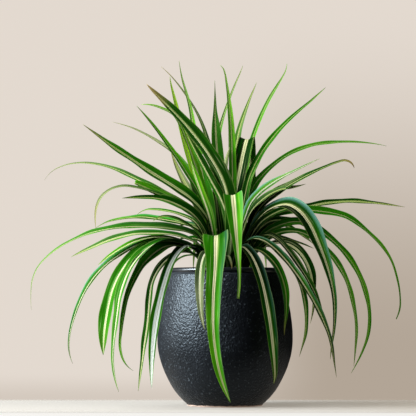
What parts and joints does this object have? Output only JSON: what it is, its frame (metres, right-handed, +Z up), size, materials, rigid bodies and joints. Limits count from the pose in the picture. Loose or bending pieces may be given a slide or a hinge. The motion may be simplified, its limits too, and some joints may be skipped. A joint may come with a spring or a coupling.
{
  "type": "potted spider plant",
  "caption": "House plant of long striped strap leaves that arch and hang in crowns from a dark round-bellied glazed pot, for a table, shelf or sill.",
  "frame": {"origin": "middle of the pot's flat base, on the surface that it stands on", "axes": "+Z up along the pot's axis, -Y to the front, towards the viewer, +X to the viewer's right"},
  "size_m": [0.3791, 0.2646, 0.3575],
  "materials": {
    "pot_glaze": "black hammered gloss glaze, smooth rolled lip, bare clay foot",
    "soil": "dark crumbly potting mix with pale grains",
    "leaf": "satin green leaf with a cream stripe along the middle"
  },
  "bodies": {
    "root": {"pot": "pot_glaze", "soil": "soil", "crown_front": "leaf", "crown_left": "leaf", "crown_right": "leaf", "crown_back": "leaf"}
  },
  "joints": []
}
